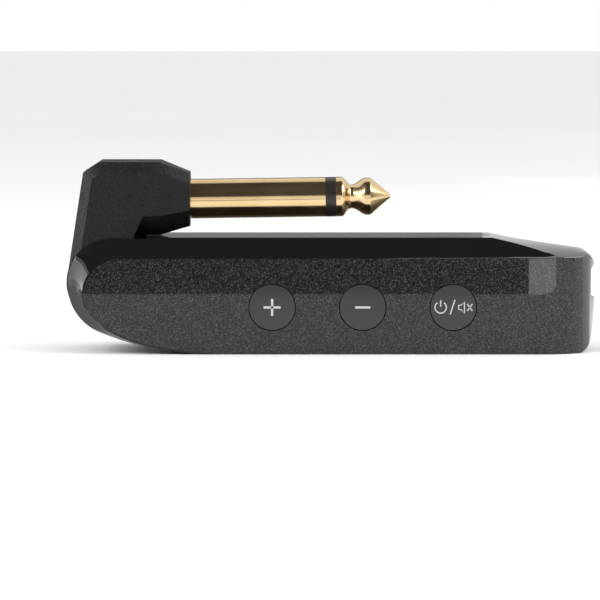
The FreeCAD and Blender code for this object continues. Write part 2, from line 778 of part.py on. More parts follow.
BUSH_BORE = "pin_radius + running_gap"
ring("near_bush", "bush_radius", BUSH_BORE, (f"0 - {bush_seat} + 0.02", "0 - slot_width / 2"))
ring("far_bush", "bush_radius", BUSH_BORE, ("slot_width / 2", f"{bush_seat} - 0.02"))
ring("friction_washer", "washer_radius", f"{BUSH_BORE} + 0.2",
     ("0 - slot_width / 2", "washer_thickness + 0.1 - slot_width / 2"))
POCKET = "(knuckle_width / 2 - washer_pocket)"
ring("detent_spring", "washer_radius", f"{BUSH_BORE} + 0.05", (POCKET, f"{POCKET} + washer_thickness"))

pin_outside = rod("pin_outside", "y", "pin_radius", ("0 - pin_length / 2", "pin_length / 2"), HINGE)
pin_inside = rod("pin_inside", "y", "pin_bore", ("0 - pin_length", "pin_length"), HINGE)
pin_window = block("pin_window", (f"{HINGE_X} - pin_radius", f"{HINGE_X} + pin_radius"), ("0 - 1.6", "1.6"),
                   (HINGE_Z, f"{HINGE_Z} + pin_radius"))
keep("hinge_pin", cut("hinge_pin", pin_outside, pin_inside, pin_window))


# ---------------------------------------------------------------- plug arm

LEAN = "arm_lean * 1 deg"
WALL_FOOT = (f"{HINGE_X} - knuckle_radius * cos({LEAN})", f"{HINGE_Z} + knuckle_radius * sin({LEAN})")
ARM_TOP = "(body_height + arm_height)"
SHOULDER_Z = f"({ARM_TOP} - shoulder_drop)"
NECK_RIGHT = f"({HINGE_X} + neck_length)"
neck_corners = [
    WALL_FOOT,
    (f"{WALL_FOOT[0]} + ({SHOULDER_Z} - ({WALL_FOOT[1]})) * tan({LEAN})", SHOULDER_Z),
    (from_left("shoulder_setback"), ARM_TOP),
    (NECK_RIGHT, ARM_TOP),
    (NECK_RIGHT, "body_height + plug_height - 2.4"),
    (f"{NECK_RIGHT} - neck_undercut", "body_height - 0.4"),
    (f"{HINGE_X} + knuckle_radius * 0.4", f"{HINGE_Z} + knuckle_radius * 0.8"),
    (HINGE_X, HINGE_Z),
]


def edges_through(shape, wanted):
    """The names of the edges whose middles are in a list of places."""
    names = []
    for number, edge in enumerate(shape.Edges, start=1):
        middle = edge.CenterOfMass
        if any(middle.distanceToPoint(spot) < 0.01 for spot in wanted):
            names.append(f"Edge{number}")
    return names


def bevel(owner, name, wanted, size):
    doc.recompute()
    base = owner.Tip
    chamfer = owner.newObject("PartDesign::Chamfer", name)
    chamfer.Base = (base, edges_through(base.Shape, wanted))
    bind(chamfer, Size=size)
    owner.Tip = chamfer
    return chamfer


neck = body("neck")
pad(neck, "neck_pad", outline(neck, "neck_outline", "XZ_Plane", neck_corners), "knuckle_width",
    both_ways=True)
neck_spots = [Vector(value(x), 0, value(z)) for x, z in neck_corners]
ridges = []
for start, end in zip(neck_spots[:3], neck_spots[1:4]):
    for side in (-1, 1):
        ridges.append((start + end) / 2 + Vector(0, side * value("knuckle_width") / 2, 0))
bevel(neck, "neck_bevel", ridges, "arm_bevel")

knuckle = body("knuckle")
place(knuckle, HINGE_X, 0, HINGE_Z)
pad(knuckle, "knuckle_pad", circle(knuckle, "knuckle_outline", "XZ_Plane", "knuckle_radius"),
    "knuckle_width", both_ways=True)


def barrel_section(half_wide, low, high, low_side, high_side, low_top, high_top):
    """An eight-sided section: its sides, then the narrower flats above and below."""
    return [
        (f"0 - {low_top}", low), (low_top, low), (half_wide, low_side), (half_wide, high_side),
        (high_top, high), (f"0 - {high_top}", high), (f"0 - {half_wide}", high_side),
        (f"0 - {half_wide}", low_side),
    ]


ARM_FLOOR = "(body_height + arm_lift)"
BARREL_X = from_left("hinge_setback + barrel_length")
barrel_root = barrel_section(
    "(knuckle_width / 2)", ARM_FLOOR, ARM_TOP, f"({PLUG_Z} - 2.4)", f"({ARM_TOP} - arm_bevel)",
    "(knuckle_width / 2 - 3.6)", "(knuckle_width / 2 - arm_bevel)")
barrel_mouth = barrel_section(
    "(barrel_end_width / 2)", f"({PLUG_Z} - barrel_end_height / 2)", f"({PLUG_Z} + barrel_end_height / 2)",
    f"({PLUG_Z} - 1.6)", f"({PLUG_Z} + 2.6)", "(barrel_end_width / 2 - 2.8)",
    "(barrel_end_width / 2 - 1.6)")
barrel = body("barrel")
root = outline(barrel, "barrel_root", "YZ_Plane", barrel_root, BARREL_X)
pad(barrel, "barrel_pad", root, f"{BARREL_X} - ({NECK_RIGHT}) + 2", backwards=True)
mouth = outline(barrel, "barrel_mouth", "YZ_Plane", barrel_mouth, MOUTH_X)
taper = barrel.newObject("PartDesign::AdditiveLoft", "barrel_taper_loft")
taper.Profile = root
taper.Sections = [mouth]
taper.Ruled = True
barrel.Tip = taper
arm_outside = join("arm_outside", neck, knuckle, barrel)


def tilt(thing):
    """Turn a piece made along the plug's own axis to where the plug points."""
    place(thing, MOUTH_X, 0, PLUG_Z)
    thing.Placement.Rotation = Rotation(Vector(0, -1, 0), value("plug_tilt"))
    thing.setExpression("Placement.Rotation.Axis.y", "-1")
    thing.setExpression("Placement.Rotation.Angle", rule("plug_tilt"))
    return thing


def turned(node, corners):
    """A piece turned about the plug's axis: places along it from the arm's mouth, and radii."""
    owner = body(node + "_form")
    spin(owner, node + "_turn", outline(owner, node + "_outline", "XZ_Plane", corners))
    return tilt(owner)


TAIL = "(0 - 5)"
FLANGE = f"({TAIL} - flange_thickness)"
SHANK = "(plug_radius - shank_step)"
plug_hole = turned("plug_hole", [
    ("1", "0"), ("1", f"{SHANK} + 0.02"), (TAIL, f"{SHANK} + 0.02"), (TAIL, "flange_radius + 0.05"),
    (f"{FLANGE} - 0.8", "flange_radius + 0.05"), (f"{FLANGE} - 0.8", "0")])

terminal_room = block(
    "terminal_room", (from_left("shoulder_setback - 0.2"), f"{MOUTH_X} - 6.6"), ("0 - 5.2", "5.2"),
    (f"{PLUG_Z} - 3.6", f"{PLUG_Z} + 1.9"))
wire_duct = block(
    "wire_duct", (from_left("shoulder_setback - 0.2"), f"{HINGE_X} + 1.9"), ("0 - 2.2", "2.2"),
    (f"{HINGE_Z} + pin_radius - 0.6", f"{PLUG_Z} - 3.5"))
pin_hole = rod("pin_hole", "y", "pin_radius + 0.01", ("0 - 20", "20"), HINGE)
pockets = [
    rod(f"{side}_pocket", "y", "washer_radius + 0.2", span, HINGE)
    for side, span in (("near", ("0 - 20", f"0 - {POCKET}")), ("far", (POCKET, "20")))
]

ARM_SCREWS = {
    "low": (from_left("3.4"), f"{HINGE_Z} + 6.8"),
    "high": (from_left("11"), f"{PLUG_Z} + 3.1"),
}
HEAD_FACE = "(knuckle_width / 2 - 0.9)"
arm_screw_heads = [
    rod(f"arm_head_{spot}", "y", "1.1", (f"{HEAD_FACE} - 0.7", HEAD_FACE), where)
    for spot, where in ARM_SCREWS.items()
]
arm_screw_shanks = [
    rod(f"arm_shank_{spot}", "y", "0.7", ("0 - 4", f"{HEAD_FACE} - 0.6"), where)
    for spot, where in ARM_SCREWS.items()
]
keep("arm_screws", group("arm_screws", *[
    join(f"arm_screw_{number}", *pair)
    for number, pair in enumerate(zip(arm_screw_heads, arm_screw_shanks))]))
arm_screw_wells = [
    rod(f"arm_well_{spot}", "y", "1.15", (f"{HEAD_FACE} - 0.72", "20"), where)
    for spot, where in ARM_SCREWS.items()
]
arm_screw_holes = [
    rod(f"arm_hole_{spot}", "y", "0.71", ("0 - 4.1", "20"), where)
    for spot, where in ARM_SCREWS.items()
]
for word, span in (("near", ("0 - 20", "0")), ("far", ("0", "20"))):
    bounds = block(word + "_bounds", (from_left("0 - 5"), from_left("30")), span, ("0", "40"))
    keep(f"{word}_arm_shell", cut(
        f"{word}_arm_shell", overlap(word + "_arm_half", arm_outside, bounds), plug_hole,
        terminal_room, wire_duct, pin_hole, *pockets, *arm_screw_holes, *arm_screw_wells))


# ---------------------------------------------------------------- plug

RING_END = "(sleeve_length + ring_length)"
TUBE_BORE = "(tip_rod_radius + 0.02)"
keep("plug_sleeve", turned("plug_sleeve", [
    (FLANGE, "tube_radius + 0.02"), (FLANGE, "flange_radius"), (TAIL, "flange_radius"),
    (TAIL, SHANK), ("0.1", SHANK), ("0.1", "plug_radius"),
    ("sleeve_length", "plug_radius"), ("sleeve_length", "tube_radius + 0.02")]))
keep("plug_ring", turned("plug_ring", [
    ("sleeve_length", TUBE_BORE), ("sleeve_length", "plug_radius"), (RING_END, "plug_radius"),
    (RING_END, TUBE_BORE)]))
keep("plug_tube", turned("plug_tube", [
    (f"{FLANGE} - 0.7", TUBE_BORE), (f"{FLANGE} - 0.7", "tube_radius"),
    ("sleeve_length", "tube_radius"), ("sleeve_length", TUBE_BORE)]))
keep("plug_tip", turned("plug_tip", [
    (f"{FLANGE} - 2.8", "0"), (f"{FLANGE} - 2.8", "tip_rod_radius"), (RING_END, "tip_rod_radius"),
    (RING_END, "plug_radius"), (f"{RING_END} + 0.9", "plug_radius"),
    (f"{RING_END} + 2.35", "plug_radius * 0.6"), (f"{RING_END} + 4.7", "plug_radius - 0.18"),
    (f"{RING_END} + 5.2", "plug_radius - 0.13"), (f"{RING_END} + 5.7", "plug_radius - 0.25"),
    (f"{RING_END} + tip_length", "0.5"), (f"{RING_END} + tip_length", "0")]))
keep("sleeve_lug", turned("sleeve_lug", [
    (f"{FLANGE} - 0.4", "tube_radius + 0.15"), (f"{FLANGE} - 0.4", "3.2"), (FLANGE, "3.2"),
    (FLANGE, "tube_radius + 0.15")]))
keep("tip_lug", turned("tip_lug", [
    (f"{FLANGE} - 1.9", TUBE_BORE), (f"{FLANGE} - 1.9", "1.75"), (f"{FLANGE} - 1.4", "1.75"),
    (f"{FLANGE} - 1.4", TUBE_BORE)]))

WIRE_X = f"({HINGE_X} + 0.3)"
WIRE_END = f"({HINGE_Z} + 0.6)"
keep("jack_wires", feature("jack_wires", Part.makeCompound([
    wire_run((f"{MOUTH_X} + {FLANGE} - {back}", y, f"{PLUG_Z} - {drop}"),
             (bend_x, y, f"{PLUG_Z} - {drop}"), (bend_x, y, WIRE_END), 1.3, 0.3)
    for back, y, drop, bend_x in (
        ("1.95", "0 - 0.5", "1.6", WIRE_X), ("0.45", "0.5", "2.9", f"{WIRE_X} - 0.8"))])))


# ---------------------------------------------------------------- check and write

doc.recompute()
for thing in doc.Objects:
    if "Invalid" in thing.State or "Error" in thing.State:
        raise RuntimeError(f"{thing.Name} could not be made: {thing.State}")
for node, thing in PARTS.items():
    shape = thing.Shape
    if shape.isNull() or not shape.isValid() or not shape.Solids:
        raise RuntimeError(f"{node} has no sound solid")

os.makedirs("parts", exist_ok=True)
for node, thing in PARTS.items():
    thing.Shape.exportStep(os.path.join("parts", node + ".step"))
    print(f"{node}: {len(thing.Shape.Solids)} solid(s), {thing.Shape.Volume:.1f} mm3")
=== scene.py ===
# %% [markdown]
# # A wireless guitar transmitter with a fold-out plug
#
# The imported CAD model is the fixed frame of this scene: every piece of the real object already
# lies where it belongs, in metres. This file gives those pieces their looks. It starts by loading
# the frame.

# %% Load the frame
import json
import math

import bmesh
import bpy
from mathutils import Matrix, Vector


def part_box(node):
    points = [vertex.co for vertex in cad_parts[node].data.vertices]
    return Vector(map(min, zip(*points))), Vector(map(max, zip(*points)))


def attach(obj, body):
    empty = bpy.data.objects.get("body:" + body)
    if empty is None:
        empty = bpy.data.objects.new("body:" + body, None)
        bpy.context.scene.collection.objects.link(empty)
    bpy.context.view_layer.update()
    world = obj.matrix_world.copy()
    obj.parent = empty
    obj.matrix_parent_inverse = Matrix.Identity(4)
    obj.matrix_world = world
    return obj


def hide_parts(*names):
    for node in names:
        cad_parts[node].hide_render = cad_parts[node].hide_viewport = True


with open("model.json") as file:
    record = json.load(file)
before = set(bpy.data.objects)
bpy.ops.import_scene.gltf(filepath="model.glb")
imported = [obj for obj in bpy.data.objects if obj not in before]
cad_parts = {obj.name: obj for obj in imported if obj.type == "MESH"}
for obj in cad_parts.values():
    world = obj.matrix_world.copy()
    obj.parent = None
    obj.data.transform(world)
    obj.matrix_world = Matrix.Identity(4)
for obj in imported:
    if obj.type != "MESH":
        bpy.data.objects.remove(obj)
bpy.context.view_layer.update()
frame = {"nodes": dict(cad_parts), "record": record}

MM = 0.001
nodes = frame["nodes"]
print("nodes in the frame:", len(nodes))

# %% [markdown]
# Places come from the frame, never from guesses. The plug's axis is one of the record's mounts, and
# each key, badge and screw is placed from the box of its own node.

# %% Places read from the frame
mounts = {mount["name"]: mount for mount in frame["record"]["mounts"]}
plug = mounts["instrument_plug"]
plug_point = Vector(plug["pos_m"])
plug_axis = Vector(plug["axis"]).normalized()
plug_radius = plug["dims"]["r_mm"] * MM


def middle(node):
    low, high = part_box(node)
    return (low + high) / 2


print("plug at", [round(v / MM, 2) for v in plug_point], "radius", round(plug_radius / MM, 3))

# %% [markdown]
# ## Shared surface effects
#
# Real surfaces are never one flat value. Three small node groups give the variation that most
# materials here share. A group puts out only values that change over the surface, and the shader
# itself stays in each material.
#
# - `Moulded grain` is the fine spark-eroded texture of a plastic mould: a height and a roughness.
# - `Handling marks` is faint smears and hairline scratches, as a roughness.
# - `Metal flake` is a lacquer with tiny flakes, each with its own brightness and tilt.

# %% Helpers that build node groups
def new_group(name, inputs, outputs):
    group = bpy.data.node_groups.new(name, "ShaderNodeTree")
    for label, default in inputs:
        kind = "NodeSocketVector" if default is None else "NodeSocketFloat"
        socket = group.interface.new_socket(label, in_out="INPUT", socket_type=kind)
        if default is not None:
            socket.default_value = default
    for label, kind in outputs:
        group.interface.new_socket(label, in_out="OUTPUT", socket_type=kind)
    return group, group.nodes.new("NodeGroupInput"), group.nodes.new("NodeGroupOutput")


def add(tree, kind, values=(), **settings):
    """A node with its settings, and its input values or links given by name."""
    node = tree.nodes.new(kind)
    for key, setting in settings.items():
        setattr(node, key, setting)
    for label, given in dict(values).items():
        if isinstance(given, bpy.types.NodeSocket):
            tree.links.new(given, node.inputs[label])
        else:
            node.inputs[label].default_value = given
    return node


def maths(tree, operation, first, second=0.0, clamp=False):
    return add(tree, "ShaderNodeMath", {0: first, 1: second}, operation=operation,
               use_clamp=clamp).outputs[0]


def spread(tree, given, low, high):
    """Stretch a 0 to 1 value over a range."""
    ranged = add(tree, "ShaderNodeMapRange", {"Value": given, "To Min": low, "To Max": high})
    return ranged.outputs[0]


# %% Moulded grain
grain_group, given, result = new_group(
    "Moulded grain", [("Vector", None), ("Scale", 6000.0), ("Rough low", 0.4), ("Rough high", 0.6)],
    [("Height", "NodeSocketFloat"), ("Roughness", "NodeSocketFloat")])
fine = add(grain_group, "ShaderNodeTexNoise",
           {"Vector": given.outputs["Vector"], "Scale": given.outputs["Scale"], "Detail": 2.0})
pits = add(grain_group, "ShaderNodeTexVoronoi",
           {"Vector": given.outputs["Vector"], "Scale": given.outputs["Scale"]},
           feature="SMOOTH_F1")
mixed = maths(grain_group, "ADD", fine.outputs[0],
              maths(grain_group, "MULTIPLY", pits.outputs[0], 0.6))
broad = add(grain_group, "ShaderNodeTexNoise", {"Vector": given.outputs["Vector"], "Scale": 240.0})
grain_group.links.new(mixed, result.inputs["Height"])
blend = maths(grain_group, "MULTIPLY", fine.outputs[0], broad.outputs[0])
ranged = add(grain_group, "ShaderNodeMapRange",
             {"Value": blend, "From Min": 0.1, "From Max": 0.4,
              "To Min": given.outputs["Rough low"], "To Max": given.outputs["Rough high"]})
grain_group.links.new(ranged.outputs[0], result.inputs["Roughness"])
print("Moulded grain:", len(grain_group.nodes), "nodes")

# %% Handling marks
marks_group, given, result = new_group(
    "Handling marks", [("Vector", None), ("Clean", 0.05), ("Smeared", 0.14)],
    [("Roughness", "NodeSocketFloat"), ("Height", "NodeSocketFloat")])
smear = add(marks_group, "ShaderNodeTexNoise",
            {"Vector": given.outputs["Vector"], "Scale": 130.0, "Detail": 4.0, "Distortion": 0.8})
stretch = add(marks_group, "ShaderNodeMapping",
              {"Vector": given.outputs["Vector"], "Rotation": (0.3, 0.5, 0.7),
               "Scale": (160.0, 3200.0, 2400.0)})
hair = add(marks_group, "ShaderNodeTexNoise",
           {"Vector": stretch.outputs[0], "Scale": 1.0, "Detail": 1.0})
scratch = add(marks_group, "ShaderNodeMapRange",
              {"Value": hair.outputs[0], "From Min": 0.68, "From Max": 0.75})
total = maths(marks_group, "ADD", maths(marks_group, "MULTIPLY", smear.outputs[0], 0.8),
              maths(marks_group, "MULTIPLY", scratch.outputs[0], 0.25), clamp=True)
ranged = add(marks_group, "ShaderNodeMapRange",
             {"Value": total, "From Min": 0.25, "From Max": 0.8,
              "To Min": given.outputs["Clean"], "To Max": given.outputs["Smeared"]})
marks_group.links.new(ranged.outputs[0], result.inputs["Roughness"])
marks_group.links.new(scratch.outputs[0], result.inputs["Height"])
print("Handling marks:", len(marks_group.nodes), "nodes")

# %% Metal flake
flake_group, given, result = new_group(
    "Metal flake", [("Vector", None), ("Scale", 5200.0), ("Amount", 0.5)],
    [("Flake", "NodeSocketFloat"), ("Tilt", "NodeSocketFloat"), ("Cloud", "NodeSocketFloat")])
cells = add(flake_group, "ShaderNodeTexVoronoi",
            {"Vector": given.outputs["Vector"], "Scale": given.outputs["Scale"]})
parts = add(flake_group, "ShaderNodeSeparateColor", {"Color": cells.outputs["Color"]})
dull = maths(flake_group, "SUBTRACT", 1.0, given.outputs["Amount"])
bright = add(flake_group, "ShaderNodeMapRange",
             {"Value": parts.outputs[0], "From Min": dull, "From Max": 1.0})
sharp = maths(flake_group, "POWER", bright.outputs[0], 2.2)
cloud = add(flake_group, "ShaderNodeTexNoise", {"Vector": given.outputs["Vector"], "Scale": 420.0})
flake_group.links.new(sharp, result.inputs["Flake"])
flake_group.links.new(parts.outputs[1], result.inputs["Tilt"])
flake_group.links.new(cloud.outputs[0], result.inputs["Cloud"])
print("Metal flake:", len(flake_group.nodes), "nodes")

# %% [markdown]
# ## Materials
#
# `finish` makes one material. Every one gets a colour that drifts a little, a roughness that
# varies and a fine relief, all from object coordinates. The constant parts of each finish, such as
# its coat and its index of refraction, are set straight on the shader.

# %% One helper for every material
def use_group(tree, group, **values):
    node = tree.nodes.new("ShaderNodeGroup")
    node.node_tree = group
    for label, given in values.items():
        label = label.replace("_", " ")
        if isinstance(given, bpy.types.NodeSocket):
            tree.links.new(given, node.inputs[label])
        else:
            node.inputs[label].default_value = given
    return node


def tinted(tree, mask, dark, light):
    """A colour that runs from dark to light with a mask."""
    node = add(tree, "ShaderNodeMix", {"Factor": mask}, data_type="RGBA")
    node.inputs[6].default_value = (*dark, 1.0)
    node.inputs[7].default_value = (*light, 1.0)
    return node.outputs[2]


def start_finish(name, **constants):
    material = bpy.data.materials.new(name)
    material.use_nodes = True
    tree = material.node_tree
    shader = tree.nodes["Principled BSDF"]
    for label, constant in constants.items():
        shader.inputs[label.replace("_", " ")].default_value = constant
    place = tree.nodes.new("ShaderNodeTexCoord").outputs["Object"]
    return material, tree, shader, place


def relief(tree, shader, height, strength, distance):
    bump = add(tree, "ShaderNodeBump",
               {"Height": height, "Strength": strength, "Distance": distance})
    tree.links.new(bump.outputs["Normal"], shader.inputs["Normal"])


def finish(name, dark, light, rough=(0.35, 0.5), grain=6000.0, strength=0.2, drift=160.0,
           depth=0.00002, **constants):
    """A material whose colour drifts between two tints, with a moulded grain."""
    material, tree, shader, place = start_finish(name, **constants)
    noise = add(tree, "ShaderNodeTexNoise", {"Vector": place, "Scale": drift, "Detail": 3.0})
    surface = use_group(tree, grain_group, Vector=place, Scale=grain, Rough_low=rough[0],
                        Rough_high=rough[1])
    tree.links.new(tinted(tree, noise.outputs[0], dark, light), shader.inputs["Base Color"])
    tree.links.new(surface.outputs["Roughness"], shader.inputs["Roughness"])
    relief(tree, shader, surface.outputs["Height"], strength, depth)
    return material


print("helpers ready")

# %% Gloss cover, sparkling panel, satin buttons and the moulded arm
gloss, tree, shader, place = start_finish(
    "cover_gloss", IOR=1.5, Coat_Weight=0.4, Coat_Roughness=0.03)
marks = use_group(tree, marks_group, Vector=place, Clean=0.05, Smeared=0.13)
noise = add(tree, "ShaderNodeTexNoise", {"Vector": place, "Scale": 90.0})
tree.links.new(tinted(tree, noise.outputs[0], (0.004, 0.004, 0.004), (0.008, 0.0075, 0.007)),
               shader.inputs["Base Color"])
tree.links.new(marks.outputs["Roughness"], shader.inputs["Roughness"])
relief(tree, shader, marks.outputs["Height"], 0.05, 0.000002)

sparkle, tree, shader, place = start_finish(
    "housing_sparkle", IOR=1.5, Coat_Weight=1.0, Coat_Roughness=0.02, Coat_IOR=1.4,
    Specular_IOR_Level=0.15)
flakes = use_group(tree, flake_group, Vector=place, Scale=8500.0, Amount=0.55)
base = tinted(tree, flakes.outputs["Cloud"], (0.0012, 0.0012, 0.0011), (0.0024, 0.0024, 0.0022))
lit = add(tree, "ShaderNodeMix", {"Factor": flakes.outputs["Flake"], 6: base}, data_type="RGBA")
lit.inputs[7].default_value = (0.1, 0.098, 0.09, 1.0)
tree.links.new(lit.outputs[2], shader.inputs["Base Color"])
tree.links.new(spread(tree, flakes.outputs["Flake"], 0.0, 0.9), shader.inputs["Metallic"])
tree.links.new(spread(tree, flakes.outputs["Tilt"], 0.28, 0.52), shader.inputs["Roughness"])
relief(tree, shader, flakes.outputs["Tilt"], 0.12, 0.00001)

satin = finish("button_satin", (0.0095, 0.0094, 0.009), (0.0135, 0.0134, 0.0125),
               rough=(0.3, 0.42), grain=9000.0, strength=0.1, Coat_Weight=0.5, Coat_Roughness=0.09)
moulding = finish("arm_moulding", (0.0035, 0.0034, 0.0034), (0.006, 0.0057, 0.0057),
                  rough=(0.34, 0.5), grain=2800.0, strength=1.0, depth=0.00016,
                  Specular_IOR_Level=0.28)
print("case materials ready")

# %% Gold plating with lathe lines round the plug's axis
gold, tree, shader, place = start_finish("plug_gold", Metallic=1.0, Anisotropic=0.4)
moved = add(tree, "ShaderNodeVectorMath", {0: place, 1: plug_point}, operation="SUBTRACT")
along = add(tree, "ShaderNodeVectorMath", {0: moved.outputs[0], 1: plug_axis},
            operation="DOT_PRODUCT")
LINES_PER_METRE = 9000.0
turning = maths(tree, "MULTIPLY", along.outputs["Value"], LINES_PER_METRE)
lines = add(tree, "ShaderNodeTexNoise", {"W": turning, "Scale": 1.0, "Detail": 3.0},
            noise_dimensions="1D")
tarnish = add(tree, "ShaderNodeTexNoise", {"Vector": place, "Scale": 220.0, "Detail": 4.0})
tree.links.new(tinted(tree, tarnish.outputs[0], (0.70, 0.49, 0.24), (0.86, 0.66, 0.38)),
               shader.inputs["Base Color"])
mixed = maths(tree, "ADD", maths(tree, "MULTIPLY", lines.outputs[0], 0.6),
              maths(tree, "MULTIPLY", tarnish.outputs[0], 0.4))
tree.links.new(spread(tree, mixed, 0.10, 0.26), shader.inputs["Roughness"])
relief(tree, shader, lines.outputs[0], 0.12, 0.000006)
print("plug_gold:", len(tree.nodes), "nodes")

# %% The other pieces, seen and hidden
made = {
    "cover_gloss": gloss, "housing_sparkle": sparkle, "button_satin": satin,
    "arm_moulding": moulding, "plug_gold": gold,
    "plug_black": finish("plug_black", (0.012, 0.011, 0.01), (0.02, 0.018, 0.016),
                         rough=(0.25, 0.4)),
    "plug_tube": finish("plug_tube", (0.55, 0.5, 0.42), (0.7, 0.66, 0.58),
                        grain=3000.0, drift=300.0),
    "badge_satin": finish("badge_satin", (0.008, 0.008, 0.008), (0.013, 0.0125, 0.012),
                          rough=(0.22, 0.34), grain=8000.0, strength=0.08, Coat_Weight=0.6),
    "lens_smoke": finish("lens_smoke", (0.015, 0.015, 0.018), (0.03, 0.03, 0.034),
                         rough=(0.08, 0.16), strength=0.03, IOR=1.49),
    "guide_clear": finish("guide_clear", (0.75, 0.78, 0.8), (0.86, 0.88, 0.9), rough=(0.05, 0.14),
                          strength=0.04, Transmission_Weight=0.7, IOR=1.49),
    "led_white": finish("led_white", (0.75, 0.72, 0.55), (0.85, 0.82, 0.68), strength=0.05),
    "screw_steel": finish("screw_steel", (0.03, 0.03, 0.03), (0.06, 0.058, 0.055),
                          rough=(0.3, 0.45), Metallic=1.0),
    "arm_screw_steel": finish("arm_screw_steel", (0.03, 0.03, 0.03), (0.06, 0.058, 0.055),
                              rough=(0.3, 0.45), Metallic=1.0),
    "label_film": finish("label_film", (0.02, 0.02, 0.02), (0.03, 0.03, 0.029), rough=(0.3, 0.4),
                         strength=0.05),
    "switch_white": finish("switch_white", (0.62, 0.6, 0.56), (0.72, 0.7, 0.66), strength=0.12),
    "switch_steel": finish("switch_steel", (0.5, 0.5, 0.5), (0.62, 0.62, 0.61), rough=(0.22, 0.4),
                           Metallic=1.0, strength=0.1),
    "cell_foil": finish("cell_foil", (0.5, 0.51, 0.53), (0.66, 0.67, 0.69), rough=(0.2, 0.42),
                        grain=1600.0, Metallic=1.0, strength=0.3),
    "pad_foam": finish("pad_foam", (0.03, 0.03, 0.032), (0.05, 0.05, 0.052), rough=(0.8, 0.95),
                       grain=2600.0, strength=0.9),
    "chip_black": finish("chip_black", (0.014, 0.014, 0.015), (0.024, 0.024, 0.025),
                         rough=(0.4, 0.6)),
    "shield_tin": finish("shield_tin", (0.6, 0.6, 0.58), (0.72, 0.72, 0.7), rough=(0.2, 0.38),
                         Metallic=1.0, strength=0.1),
    "antenna_ceramic": finish("antenna_ceramic", (0.72, 0.68, 0.6), (0.82, 0.79, 0.72),
                              strength=0.1),
    "socket_steel": finish("socket_steel", (0.45, 0.45, 0.44), (0.6, 0.6, 0.59), rough=(0.16, 0.3),
                           Metallic=1.0, strength=0.06),
    "socket_tongue": finish("socket_tongue", (0.016, 0.016, 0.017), (0.026, 0.026, 0.027)),
    "lead_insulation": finish("lead_insulation", (0.28, 0.02, 0.015), (0.4, 0.035, 0.025),
                              rough=(0.35, 0.5), strength=0.12),
    "bush_white": finish("bush_white", (0.6, 0.59, 0.56), (0.7, 0.69, 0.66), strength=0.1),
    "spring_steel": finish("spring_steel", (0.42, 0.42, 0.43), (0.56, 0.56, 0.57),
                           rough=(0.18, 0.34), Metallic=1.0, strength=0.1),
    "pin_steel": finish("pin_steel", (0.5, 0.5, 0.5), (0.62, 0.62, 0.62), rough=(0.12, 0.26),
                        Metallic=1.0, strength=0.06),
    "lug_tin": finish("lug_tin", (0.6, 0.59, 0.56), (0.72, 0.71, 0.68), rough=(0.2, 0.36),
                      Metallic=1.0, strength=0.08),
    "board_mask": finish("board_mask", (0.012, 0.05, 0.022), (0.02, 0.075, 0.034),
                         rough=(0.25, 0.4), strength=0.1, drift=900.0, Coat_Weight=0.4),
}
for node in nodes.values():
    for index, old in enumerate(node.data.materials):
        node.data.materials[index] = made[old.name.split(".")[0]]
print("materials:", len(made), "on", len(nodes), "nodes")

# %% [markdown]
# ## Refined copies of the CAD pieces
#
# Each visible case piece is copied from its CAD node, its doubles are merged, and its shading is
# worked out again so that flat faces stay flat and curved ones run smoothly. The arm and the keys
# also get rounded edges. Bevels only take material away, so a copy stays inside its CAD piece. The
# copy rides on the same body and takes the same finish.

# %% Helpers for pieces
bodies = frame["record"]["behaviour"]["bodies"]
body_of_node = {node: body for body, members in bodies.items() for node in members}
slot_of_node = {name: node.data.materials[0].name.split(".")[0] for name, node in nodes.items()}
POINT_GAP = 0.001 * MM
LARGE_FACE = 25 * MM * MM
FRONT_DEPTH = 0.01 * MM


def show(name, mesh, material):
    mesh.materials.clear()
    mesh.materials.append(material)
    piece = bpy.data.objects.new(name, mesh)
    bpy.context.scene.collection.objects.link(piece)
    return piece


def settle(piece):
    """Turn a piece's live modifiers into its plain mesh."""
    graph = bpy.context.evaluated_depsgraph_get()
    mesh = bpy.data.meshes.new_from_object(piece.evaluated_get(graph))
    piece.modifiers.clear()
    piece.data = mesh


def belongs(piece, node, stands_for=True):
    """Tie a piece to a CAD node's body, and hide the node when the piece stands for it."""
    if stands_for:
        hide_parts(node)
    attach(piece, body_of_node[node])


def merged(node, flat=0.4):
    """A node's mesh, with doubled points joined and faces within flat degrees united."""
    form = bmesh.new()
    form.from_mesh(nodes[node].data)
    bmesh.ops.remove_doubles(form, verts=form.verts, dist=POINT_GAP)
    bmesh.ops.dissolve_limit(form, angle_limit=math.radians(flat), verts=form.verts,
                             edges=form.edges)
    return form


def even_normals(mesh, limit=32.0):
    """Corner normals: flat faces stay flat, curved ones run smoothly, and edges stay sharp."""
    around = [[] for _ in mesh.vertices]
    opening = {}
    for face in mesh.polygons:
        ring = [mesh.vertices[point].co for point in face.vertices]
        for index, point in enumerate(face.vertices):
            around[point].append(face.index)
            ahead = ring[(index + 1) % len(ring)] - ring[index]
            behind = ring[index - 1] - ring[index]
            opening[face.index, point] = ahead.angle(behind, 0.0)
    facing = [face.normal.copy() for face in mesh.polygons]
    area = [face.area for face in mesh.polygons]
    least = math.cos(math.radians(limit))
    corners = []
    for face in mesh.polygons:
        for point in face.vertices:
            near = [other for other in around[point]
                    if facing[other].dot(facing[face.index]) > least]
            widest = max(near, key=area.__getitem__, default=face.index)
            total = sum((facing[other] * opening[other, point] for other in near), Vector())
            if area[widest] > LARGE_FACE or total.length == 0:
                total = facing[widest]
            corners.append(total.normalized())
    mesh.normals_split_custom_set(corners)


